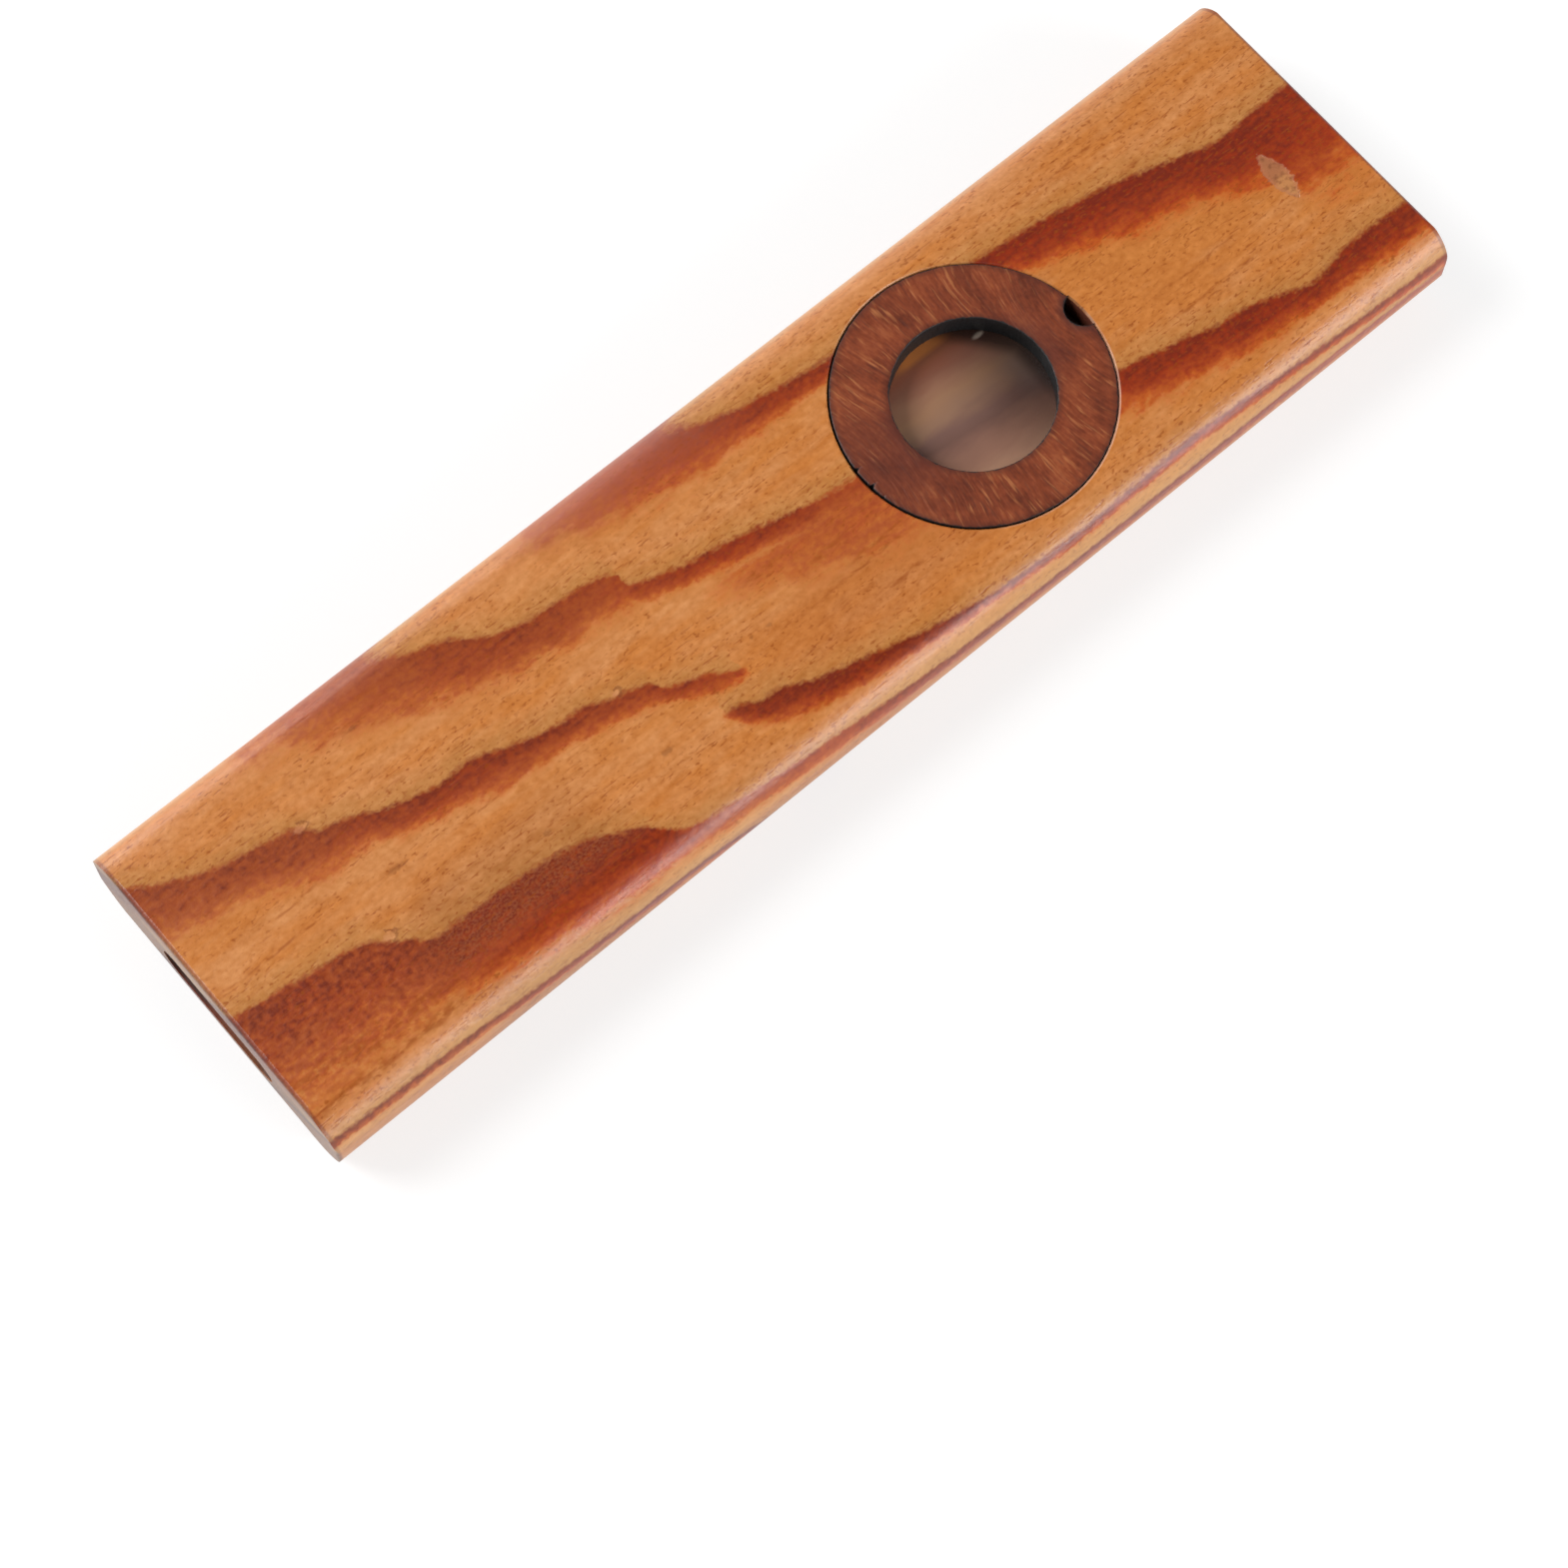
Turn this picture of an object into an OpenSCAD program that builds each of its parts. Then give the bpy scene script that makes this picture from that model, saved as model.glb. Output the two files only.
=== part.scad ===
// Wooden kazoo: a flat bar of wood with a sound channel from end to end.
// A vibrating membrane lies in a round pocket in the top, under a wooden ring
// that lifts out so that the membrane can be changed.
// The mouth end is at -X, the outlet at +X, and the bar rests on Z = 0.

/* [Body] */
// Length from the mouth end to the outlet end
body_length = 120; // [100:1:150]
// Width across the bar
body_width = 31.6; // [29:0.2:40]
// Height from the resting face to the top
body_height = 9.6; // [9:0.1:16]
// Radius of the two long edges at the top
top_edge_radius = 3.7; // [2:0.1:4.4]
// Radius of the two long edges at the bottom
bottom_edge_radius = 4.8; // [2:0.1:5.1]
// Radius of the upright corners at the two ends
end_corner_radius = 0.3; // [0.2:0.1:3]
// Radius of the top and bottom edges at the two ends
end_edge_radius = 0.4; // [0.2:0.1:1]

/* [Sound channel] */
// Width of the flat channel
channel_width = 14; // [12.5:0.5:18]
// Height of the flat channel
channel_height = 4.2; // [3.6:0.1:4.4]
// Wood left under the channel
channel_floor = 1.6; // [1.2:0.1:1.8]

/* [Membrane pocket] */
// Distance of the membrane's centre from the mouth end
membrane_from_mouth = 80; // [50:1:84]
// Bore of the port from the pocket down into the channel
port_diameter = 12; // [6:0.5:12.4]
// Gap round the ring in its pocket, on the radius
ring_clearance = 0.1; // [0.05:0.01:0.3]
// Gap round the membrane in its pocket, on the radius
membrane_clearance = 0.2; // [0.1:0.05:0.5]
// Eased edge round the pocket's mouth
pocket_chamfer = 0.15; // [0.05:0.05:0.4]

/* [Retaining ring] */
// Outer diameter of the ring
ring_diameter = 24; // [20:0.5:24.5]
// Hole in the ring
ring_hole = 14; // [8:0.5:16]
// Thickness of the ring
ring_thickness = 2.3; // [1.6:0.1:2.4]
// Width of the prying notch at the ring's edge
notch_width = 3.3; // [2:0.1:4.4]
// Depth of the prying notch from the ring's edge
notch_depth = 1.4; // [0.8:0.1:1.6]

/* [Membrane] */
// Thickness of the vibrating film
film_thickness = 0.1; // [0.06:0.02:0.2]
// Thickness of the stiff hoop that carries the film
hoop_thickness = 0.6; // [0.3:0.1:0.7]
// Width of the hoop's flat band
hoop_band = 3.9; // [2:0.1:4.5]

/* [Hidden] */
$fn = 96;

// How far each cutting shape runs past the face that it opens
overrun = 0.5;

// Heights of the layers, all from the resting face
seam_height = channel_floor + channel_height / 2;
pocket_floor = body_height - ring_thickness - film_thickness - hoop_thickness;
film_bottom = pocket_floor + hoop_thickness;
ring_bottom = film_bottom + film_thickness;

// Place and radii of the round pieces
pocket_x = membrane_from_mouth - body_length / 2;
ring_radius = ring_diameter / 2;
pocket_radius = ring_radius + ring_clearance;
membrane_radius = pocket_radius - membrane_clearance;

// The notch is a round bite through the two corners and the deepest point
notch_radius = (notch_width * notch_width / 4 + notch_depth * notch_depth) / (2 * notch_depth);

// Finishes
light_wood = [0.80, 0.52, 0.28];
dark_wood = [0.44, 0.22, 0.14];
clear_film = [0.62, 0.50, 0.42];
hoop_card = [0.14, 0.12, 0.11];

// Rectangle about the origin with its four corners rounded
module rounded_rectangle(along, across, radius) {
    square([along - 2 * radius, across], center = true);
    square([along, across - 2 * radius], center = true);
    for (side = [-1, 1], end = [-1, 1])
        translate([side * (along / 2 - radius), end * (across / 2 - radius)])
            circle(r = radius);
}

// The bar's section, with its own radius for the top edges and for the bottom edges
module long_section() {
    half = body_width / 2;
    top_y = half - top_edge_radius;
    bottom_y = half - bottom_edge_radius;
    top_z = body_height - top_edge_radius;
    polygon([
        [-bottom_y, 0], [bottom_y, 0], [half, bottom_edge_radius], [half, top_z],
        [top_y, body_height], [-top_y, body_height], [-half, top_z], [-half, bottom_edge_radius]
    ]);
    for (side = [-1, 1]) {
        translate([side * top_y, top_z])
            circle(r = top_edge_radius);
        translate([side * bottom_y, bottom_edge_radius])
            circle(r = bottom_edge_radius);
    }
}

// The bar with its rounded long edges, before it is rounded at the ends
module long_profile() {
    translate([-body_length / 2, 0, 0])
        rotate([90, 0, 90])
            linear_extrude(height = body_length)
                long_section();
}

// The bar seen from above, which rounds the upright corners
module plan_profile() {
    translate([0, 0, -overrun])
        linear_extrude(height = body_height + 2 * overrun)
            rounded_rectangle(body_length, body_width, end_corner_radius);
}

// The bar seen from the side, which eases the edges of the end faces
module side_profile() {
    translate([0, body_width / 2 + overrun, body_height / 2])
        rotate([90, 0, 0])
            linear_extrude(height = body_width + 2 * overrun)
                rounded_rectangle(body_length, body_height, end_edge_radius);
}

module body_blank() {
    intersection() {
        long_profile();
        plan_profile();
        side_profile();
    }
}

// A block from one height to another that covers the whole bar
module layer(from_height, to_height) {
    translate([-body_length / 2 - overrun, -body_width / 2 - overrun, from_height])
        cube([body_length + 2 * overrun, body_width + 2 * overrun, to_height - from_height]);
}

// The flat channel with round sides, open at both ends
module sound_channel() {
    flat_width = channel_width - channel_height;
    side_radius = channel_height / 2;
    start_x = -body_length / 2 - overrun;
    run = body_length + 2 * overrun;
    translate([start_x, -flat_width / 2, channel_floor])
        cube([run, flat_width, channel_height]);
    for (side = [-1, 1])
        translate([start_x, side * flat_width / 2, seam_height])
            rotate([0, 90, 0])
                cylinder(r = side_radius, h = run);
}

// The pocket in the top with its eased edge, and the port from its floor into the channel
module membrane_pocket() {
    translate([pocket_x, 0, pocket_floor])
        cylinder(r = pocket_radius, h = body_height - pocket_floor + overrun);
    translate([pocket_x, 0, body_height - pocket_chamfer])
        cylinder(r1 = pocket_radius, r2 = pocket_radius + pocket_chamfer + overrun, h = pocket_chamfer + overrun);
    translate([pocket_x, 0, seam_height])
        cylinder(d = port_diameter, h = body_height - seam_height);
}

// Upper half of the bar, glued along the seam, with the pocket in its top
module upper_body() {
    color(light_wood)
        difference() {
            intersection() {
                body_blank();
                layer(seam_height, body_height + overrun);
            }
            sound_channel();
            membrane_pocket();
        }
}

// Lower half of the bar, which closes the channel from below
module lower_body() {
    color(light_wood)
        difference() {
            intersection() {
                body_blank();
                layer(-overrun, seam_height);
            }
            sound_channel();
        }
}

// Stiff flat hoop on the pocket's floor, which keeps the film taut
module membrane_hoop() {
    color(hoop_card)
        translate([pocket_x, 0, pocket_floor])
            difference() {
                cylinder(r = membrane_radius, h = hoop_thickness);
                translate([0, 0, -overrun])
                    cylinder(r = membrane_radius - hoop_band, h = hoop_thickness + 2 * overrun);
            }
}

// The film that buzzes, bonded to the top of the hoop
module membrane_film() {
    color(clear_film)
        translate([pocket_x, 0, film_bottom])
            cylinder(r = membrane_radius, h = film_thickness);
}

// Wooden ring, flush with the top, with a notch for a fingernail or a blade
module retaining_ring() {
    cut_height = ring_thickness + 2 * overrun;
    color(dark_wood)
        translate([pocket_x, 0, ring_bottom])
            difference() {
                cylinder(r = ring_radius, h = ring_thickness);
                translate([0, 0, -overrun])
                    cylinder(d = ring_hole, h = cut_height);
                translate([ring_radius - notch_depth + notch_radius, 0, -overrun])
                    cylinder(r = notch_radius, h = cut_height);
            }
}

upper_body();
lower_body();
membrane_hoop();
membrane_film();
retaining_ring();
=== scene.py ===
"""The looks of a flat wooden kazoo: striped wood, a dark laser-cut ring and a thin film under it."""

import math

import bmesh
import bpy
import numpy as np
from mathutils import Matrix, Vector


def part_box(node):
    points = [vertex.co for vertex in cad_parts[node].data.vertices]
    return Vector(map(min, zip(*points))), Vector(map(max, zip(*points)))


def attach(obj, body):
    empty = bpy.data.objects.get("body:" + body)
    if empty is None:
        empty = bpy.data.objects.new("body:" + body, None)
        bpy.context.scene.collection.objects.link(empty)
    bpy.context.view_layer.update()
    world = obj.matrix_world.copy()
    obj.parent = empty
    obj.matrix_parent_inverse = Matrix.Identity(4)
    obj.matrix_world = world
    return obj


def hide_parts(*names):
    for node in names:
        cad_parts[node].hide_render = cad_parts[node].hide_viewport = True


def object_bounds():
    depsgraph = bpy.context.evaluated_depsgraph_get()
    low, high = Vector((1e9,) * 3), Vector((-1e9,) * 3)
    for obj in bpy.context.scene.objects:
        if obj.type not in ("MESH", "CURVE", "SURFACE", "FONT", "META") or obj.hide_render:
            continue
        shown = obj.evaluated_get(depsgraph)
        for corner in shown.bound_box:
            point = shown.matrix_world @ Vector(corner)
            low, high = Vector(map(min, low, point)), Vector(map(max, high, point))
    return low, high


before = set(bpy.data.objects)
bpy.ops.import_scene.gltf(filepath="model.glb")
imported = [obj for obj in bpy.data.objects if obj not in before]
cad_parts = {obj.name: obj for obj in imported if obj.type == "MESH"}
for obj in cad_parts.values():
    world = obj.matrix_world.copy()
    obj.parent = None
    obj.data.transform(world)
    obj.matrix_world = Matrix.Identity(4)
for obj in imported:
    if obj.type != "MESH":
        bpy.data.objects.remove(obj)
cad_low, cad_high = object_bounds()

MM = 0.001

# Sizes that come from the frame
bar_low, bar_high = Vector(cad_low), Vector(cad_high)
ring_low, ring_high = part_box("retaining_ring")
film_low, film_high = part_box("membrane_film")

# Sizes that the boxes don't give
MEMBRANE_FROM_MOUTH = 80 * MM
RING_RADIUS = 12 * MM
RING_HOLE_RADIUS = 7 * MM
NOTCH_WIDTH = 3.3 * MM
NOTCH_DEPTH = 1.4 * MM
NOTCH_RADIUS = (NOTCH_WIDTH ** 2 / 4 + NOTCH_DEPTH ** 2) / (2 * NOTCH_DEPTH)
# How far the centre of the notch's round bite is from the ring's own centre
NOTCH_CENTRE = RING_RADIUS - NOTCH_DEPTH + NOTCH_RADIUS
POCKET_RADIUS = RING_RADIUS + 0.1 * MM
POCKET_CHAMFER = 0.15 * MM
FILM_RADIUS = 11.9 * MM
HOOP_BORE_RADIUS = 8 * MM
CHANNEL_WIDTH = 14 * MM
CHANNEL_FLOOR = 1.6 * MM
CHANNEL_CEILING = 5.8 * MM

pocket_centre = Vector((bar_low.x + MEMBRANE_FROM_MOUTH, 0, 0))
ring_height = ring_high.z - ring_low.z


# Camera

PHOTO_SIDE_PX = 1569
FOCAL_LENGTH_PX = 3975.2
SENSOR = 36
CAMERA_AZIMUTH = math.radians(-41.569)
CAMERA_ELEVATION = math.radians(70.502)
CAMERA_ROLL = math.radians(1.124)
CAMERA_DISTANCE = 317.63 * MM
CAMERA_TARGET = Vector((-14.184 * MM, -15.887 * MM, bar_high.z))


def make_camera():
    """The photograph's view, fitted to the bar's outline, the ring and the edge of the film."""
    a, e, r = CAMERA_AZIMUTH, CAMERA_ELEVATION, CAMERA_ROLL
    back = Vector((math.sin(a) * math.cos(e), -math.cos(a) * math.cos(e), math.sin(e)))
    level = Vector((math.cos(a), math.sin(a), 0))
    upright = back.cross(level)
    right = math.cos(r) * level + math.sin(r) * upright
    up = back.cross(right)
    data = bpy.data.cameras.new("camera")
    data.sensor_width = SENSOR
    data.lens = SENSOR * FOCAL_LENGTH_PX / PHOTO_SIDE_PX
    data.clip_start = 10 * MM
    data.clip_end = 10
    camera = bpy.data.objects.new("camera", data)
    bpy.context.scene.collection.objects.link(camera)
    turn = Matrix((right, up, back)).transposed()
    camera.matrix_world = Matrix.Translation(CAMERA_TARGET + back * CAMERA_DISTANCE) @ turn.to_4x4()
    bpy.context.scene.camera = camera


# Shader graphs

def srgb(red, green, blue):
    """A colour given on the 0 to 255 scale, as the linear colour that a shader takes."""
    def linear(c):
        c /= 255
        return c / 12.92 if c <= 0.04045 else ((c + 0.055) / 1.055) ** 2.4
    return (linear(red), linear(green), linear(blue), 1)


class Graph:
    """A material's node tree, with short names for the nodes that this scene uses."""

    def __init__(self, name):
        self.material = bpy.data.materials.new(name)
        self.material.use_nodes = True
        self.tree = self.material.node_tree
        self.tree.nodes.clear()
        output = self.tree.nodes.new("ShaderNodeOutputMaterial")
        self.shader = self.tree.nodes.new("ShaderNodeBsdfPrincipled")
        self.tree.links.new(self.shader.outputs[0], output.inputs["Surface"])

    def put(self, socket, value):
        """Links a socket to value, or sets the socket itself where value is a plain number or colour."""
        if isinstance(value, bpy.types.NodeSocket):
            self.tree.links.new(value, socket)
        else:
            socket.default_value = value

    def set(self, **values):
        """Puts values on the shader's sockets: base_color stands for Base Color."""
        for name, value in values.items():
            self.put(self.shader.inputs[name.replace("_", " ").title()], value)

    def operate(self, kind, operation, values):
        node = self.tree.nodes.new(kind)
        node.operation = operation
        for socket, value in zip(node.inputs, values):
            self.put(socket, value)
        return node

    def math(self, operation, *values, clamp=False):
        node = self.operate("ShaderNodeMath", operation, values)
        node.use_clamp = clamp
        return node.outputs[0]

    def vector_math(self, operation, *values):
        node = self.operate("ShaderNodeVectorMath", operation, values)
        return node.outputs["Value" if operation == "LENGTH" else "Vector"]

    def distance(self, first, second):
        return self.vector_math("LENGTH", self.vector_math("SUBTRACT", first, second))

    def scaled(self, vector, factor):
        node = self.operate("ShaderNodeVectorMath", "SCALE", (vector,))
        self.put(node.inputs["Scale"], factor)
        return node.outputs["Vector"]

    def split(self, vector):
        node = self.tree.nodes.new("ShaderNodeSeparateXYZ")
        self.put(node.inputs[0], vector)
        return node.outputs[0], node.outputs[1], node.outputs[2]

    def join(self, x, y, z):
        node = self.tree.nodes.new("ShaderNodeCombineXYZ")
        for socket, value in zip(node.inputs, (x, y, z)):
            self.put(socket, value)
        return node.outputs[0]

    def noise(self, vector, size, detail=2.0):
        """Noise from 0 to 1 whose lumps are about size long, given as a number or as one size an axis."""
        node = self.tree.nodes.new("ShaderNodeTexNoise")
        stretch = size if isinstance(size, tuple) else (size, size, size)
        self.put(node.inputs["Vector"], self.vector_math("DIVIDE", vector, stretch))
        node.inputs["Scale"].default_value = 1
        node.inputs["Detail"].default_value = detail
        return node.outputs[0]

    def jitter(self, value, noise, reach):
        """Moves value up and down by a noise, over the given reach in all."""
        return self.math("MULTIPLY_ADD", self.math("SUBTRACT", noise, 0.5), reach, value)

    def times(self, first, *others):
        for other in others:
            first = self.math("MULTIPLY", first, other)
        return first

    def span(self, value, low, high, to_low=0.0, to_high=1.0, smooth=False):
        """Maps value from the span low to high onto to_low to to_high, held at the ends."""
        node = self.tree.nodes.new("ShaderNodeMapRange")
        node.interpolation_type = "SMOOTHSTEP" if smooth else "LINEAR"
        for name, v in (("Value", value), ("From Min", low), ("From Max", high),
                        ("To Min", to_low), ("To Max", to_high)):
            self.put(node.inputs[name], v)
        return node.outputs[0]

    def between(self, value, start, full, ebb, end):
        """Rises from 0 at start to 1 at full, and falls back from 1 at ebb to 0 at end."""
        return self.times(self.span(value, start, full), self.span(value, ebb, end, 1.0, 0.0))

    def curve(self, value, points):
        """A smooth curve through (x, y) points, with any units."""
        xs = [p[0] for p in points]
        ys = [p[1] for p in points]
        low_x, high_x = min(xs), max(xs)
        low_y, high_y = min(ys), max(ys) + 1e-6
        node = self.tree.nodes.new("ShaderNodeFloatCurve")
        line = node.mapping.curves[0]
        while len(line.points) < len(points):
            line.points.new(0.5, 0.5)
        for place, (x, y) in zip(line.points, points):
            place.location = ((x - low_x) / (high_x - low_x), (y - low_y) / (high_y - low_y))
            place.handle_type = "AUTO_CLAMPED"
        node.mapping.update()
        self.put(node.inputs["Value"], self.span(value, low_x, high_x))
        return self.span(node.outputs[0], 0.0, 1.0, low_y, high_y)

    def ramp(self, value, stops):
        """Colours along value, given as (place, colour) stops with places from 0 to 1."""
        node = self.tree.nodes.new("ShaderNodeValToRGB")
        ramp = node.color_ramp
        while len(ramp.elements) < len(stops):
            ramp.elements.new(1.0)
        for element, (place, colour) in zip(ramp.elements, stops):
            element.position = place
            element.color = colour
        self.put(node.inputs[0], value)
        return node.outputs[0]

    def mix(self, factor, a, b):
        node = self.tree.nodes.new("ShaderNodeMix")
        node.data_type = "RGBA"
        self.put(node.inputs["Factor"], factor)
        self.put(node.inputs[6], a)
        self.put(node.inputs[7], b)
        return node.outputs[2]

    def paint(self, colour, coat, *factors):
        """Covers a colour by another, as far as the product of the factors says."""
        return self.mix(self.times(*factors), colour, coat)

    def bump(self, height):
        """A surface normal bent by a height that is given in millimetres."""
        node = self.tree.nodes.new("ShaderNodeBump")
        node.inputs["Strength"].default_value = 1
        node.inputs["Distance"].default_value = MM
        self.put(node.inputs["Height"], height)
        return node.outputs[0]

    def place_mm(self):
        """The point on the piece in millimetres, in the frame of the part at rest."""
        node = self.tree.nodes.new("ShaderNodeTexCoord")
        return self.scaled(node.outputs["Object"], 1 / MM)

    def normal(self):
        node = self.tree.nodes.new("ShaderNodeTexCoord")
        return node.outputs["Normal"]


# Wood of the bar

# The growth bands as they show on the top face, as (x, y) points in millimetres. A band has a sharp
# edge towards +Y and fades out at its foot. Its strength is how dark it gets, as (x, strength) points.
FULL = [(-60, 1), (60, 1)]
GROWTH_BANDS = [
    {"edge": [(-60, 25), (-45, 19.5), (-38, 15.6), (-33.5, 13.7), (-31.5, 13), (-30, 12.3), (-28, 11.7),
              (-26.5, 11), (-24.5, 9.5), (-21.5, 8.4), (-18, 8), (-14.5, 7.5), (-13.1, 7), (-12.6, 5.5),
              (-11, 4.7), (-8, 3.8), (-4, 3.1), (0, 2.1), (4, 1.2), (8, 0.6), (20, -2.8), (31, -6.2),
              (35, -7.1), (39, -8.2), (43, -8.9), (46.5, -10), (48.5, -10.6), (54, -9.95), (60, -10.2)],
     "foot": [(-60, 17), (-45, 12.4), (-40, 10.5), (-35, 8.4), (-31, 7), (-25, 5.4), (-20, 4.3), (-14, 3.7),
              (-12, 3), (-8, 1.9), (-4, 0.9), (0, 0), (8, -2.6), (20, -6.5), (30, -9.8), (38, -11.6),
              (44, -12.6), (49, -12.8), (54, -13.2), (60, -14)],
     "strength": [(-60, 0.7), (-42, 0.62), (-32, 0.68), (-24, 0.8), (-14, 0.72), (-9, 0.8), (-2, 0.85),
                  (3, 0.75), (8, 0.6), (20, 0.8), (31, 0.9), (60, 0.92)]},
    {"edge": [(-60, 37), (-20, 20), (-8, 15.6), (-1.5, 13.5), (2, 12.4), (6, 11.3), (10, 10.7), (13, 10.4),
              (28, 9.2), (35, 8.4), (40, 7.5), (43.5, 6.7), (48, 5.3), (52, 4.4), (60, 4.6)],
     "foot": [(-60, 26), (-30, 17), (-20, 13.8), (-15, 11.8), (-10, 10.5), (-4, 9.3), (4, 8.9), (13, 8.4),
              (28, 6.4), (34, 4.7), (40, 2.5), (46, 1.0), (48, -0.1), (52.5, -1.8), (54.5, -4.6), (60, -5.3)],
     "strength": [(-60, 0.6), (-16, 0.56), (-8, 0.62), (0, 0.8), (8, 0.85), (30, 0.95), (44, 0.95),
                  (60, 0.81)]},
    {"edge": [(-60, 11.5), (-57, 9.7), (-54, 8.3), (-50, 7.3), (-46.4, 6.6), (-45.2, 5.4), (-41.5, 4.2),
              (-40, 3.3), (-37, 2.4), (-35, 1.9), (-33, 2.1), (-29, 0.9), (-25, -0.2), (-22, -0.4), (-21, -1),
              (-17, -2.2), (-16.3, -3.3), (-13, -4.6), (-10.2, -6.3), (60, -30)],
     "foot": [(-60, 5.4), (-55, 4.4), (-50, 3), (-48, 1.7), (-46, 1.5), (-43, 1.6), (-40, 0.4), (-35, -0.7),
              (-30, -1.9), (-25, -2.4), (-20, -3.6), (-17, -4.4), (-15, -5.7), (-11, -7), (-9.6, -6.7),
              (60, -30.1)],
     "strength": [(-60, 0.76), (-50, 0.8), (-42, 0.83), (-38, 0.92), (-33, 0.9), (-22, 0.84), (-14, 0.72),
                  (-10.4, 0.6), (-9.8, 0), (60, 0)]},
    {"edge": [(-60, 8), (-14.6, -8.3), (-13, -8.3), (-11, -9.2), (-9, -9.4), (-7, -10.4), (-4, -11.3),
              (0, -12.4), (4, -13.6), (10, -14.9), (15, -15.5), (20, -15.7), (25, -15.5), (31, -15.2),
              (36, -15.7), (42, -16.4), (50, -17.3), (60, -18)],
     "foot": [(-60, 7.5), (-14.8, -8.6), (-13, -10.3), (-10, -12), (-6, -13.3), (-2, -14.2), (4, -15.5),
              (10, -16.2), (15, -16.8), (20, -17.2), (25, -17), (31, -16.8), (36, -17.2), (42, -17.8),
              (50, -18.8), (60, -20)],
     "strength": [(-60, 0), (-15, 0), (-13.6, 0.6), (-11, 1), (0, 1), (60, 0.95)]},
    {"edge": [(-60, -2.6), (-54, -3.5), (-48.5, -4.4), (-47, -5.3), (-45, -6.7), (-43, -7.85), (-40, -7.95),
              (-36, -8.2), (-30, -9), (-27, -10.4), (-25.2, -11.2), (-23.8, -12.8), (-21, -14.6),
              (-16, -15.6), (-12, -16.3), (-7, -17), (-2, -17.9), (4, -18.7), (12, -19.3), (20, -19.6),
              (40, -19.7), (60, -20.6)],
     "foot": [(-60, -10.6), (-50, -12.3), (-45, -13.3), (-40, -14.2), (-35, -15.5), (-30, -16.4),
              (-20, -17.8), (-10, -19.3), (-2, -20.4), (6, -21), (20, -21.6), (40, -21.8), (60, -22.5)],
     "strength": [(-60, 0.8), (-47, 0.81), (-42, 0.95), (-28, 0.95), (-19, 0.66), (-8, 0.72), (2, 0.95),
                  (35, 0.9), (45, 0.7), (60, 0.5)]},
    {"edge": [(-60, -16.9), (-45, -17.8), (-38, -18.7), (-30, -19.5), (-22, -20.2), (-14, -23), (60, -36)],
     "foot": [(-60, -18.4), (-45, -19.3), (-38, -20.4), (-30, -21.2), (-22, -21.9), (-14, -24), (60, -39)],
     "strength": FULL},
    # The brown tail under the fifth band at the mouth end, and a broad red streak beside the ring
    {"edge": [(-60, -6), (-48, -8), (-44, -10.6), (-40, -12), (60, -60)],
     "foot": [(-60, -14.8), (-48, -14.4), (-44, -13.8), (-40, -14), (60, -61)],
     "strength": [(-60, 0.32), (-50, 0.35), (-45, 0.28), (-42, 0.16), (-40, 0), (60, 0)]},
    {"edge": [(-60, 20), (-12, 1.6), (-7, 1), (-3, 0.5), (-1, 0.2), (2, -0.1), (5, -0.4), (9, -0.4),
              (14, -2), (60, -20)],
     "foot": [(-60, 19), (-12, 0), (-7, -2), (-3, -3.4), (-1, -4.8), (2, -5.6), (5, -7), (9, -7.6),
              (14, -9), (60, -21)],
     "strength": [(-60, 0), (-11, 0), (-8, 0.12), (-5, 0.26), (-1, 0.34), (2, 0.38), (6, 0.42), (10, 0.42),
                  (14, 0.3), (20, 0), (60, 0)]},
]
# How far a band moves towards +Y for each millimetre below the top face
LAYER_SLOPE = 1.25

# Colours of clean wood, and from the palest to the darkest wood of a band in its brown and red stretches
TAN_WOOD = srgb(206, 135, 77)
ORANGE_WOOD = srgb(199, 121, 55)
PALE_WOOD = srgb(186, 125, 65)
DUSTY_WOOD = srgb(150, 92, 46)
DEEP_WOOD = srgb(184, 107, 50)
# A painted pale sheen for the rounded shoulders
SHOULDER_SHEEN = srgb(216, 182, 132)
BROWN_WOOD = [(0.0, srgb(204, 127, 66)), (0.2, srgb(190, 106, 49)), (0.45, srgb(171, 86, 40)),
              (0.7, srgb(154, 69, 29)), (1.0, srgb(115, 40, 12))]
RED_WOOD = [(0.0, srgb(205, 120, 54)), (0.2, srgb(195, 93, 30)), (0.45, srgb(175, 70, 21)),
            (0.7, srgb(153, 49, 15)), (1.0, srgb(117, 33, 12))]
MAUVE_WOOD = srgb(166, 92, 68)
DUST = srgb(172, 102, 62)
# How red the bands are along the bar, from brown (0) to red (1)
REDNESS_ALONG = [(-60, 0.25), (-45, 0.25), (-38, 0.45), (-20, 0.45), (-8, 0.65), (10, 0.7), (32, 0.9),
                 (60, 0.95)]
# How dark a band is from its edge (0) to its foot (1) and just beyond
BAND_PROFILE = [(0, 0.93), (0.08, 1), (0.25, 0.95), (0.5, 0.83), (0.75, 0.56), (0.95, 0.26), (1.12, 0.1),
                (1.4, 0)]
# Half the width over which a band's edge blurs, and the least distance from an edge to its foot
EDGE_BLUR = 0.36
THINNEST_BAND = 0.3
# A band fainter than this has no pores above its edge. Points without an edge below them count as far.
FAINT_BAND = 0.45
FAR_ABOVE = 10.0
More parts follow.
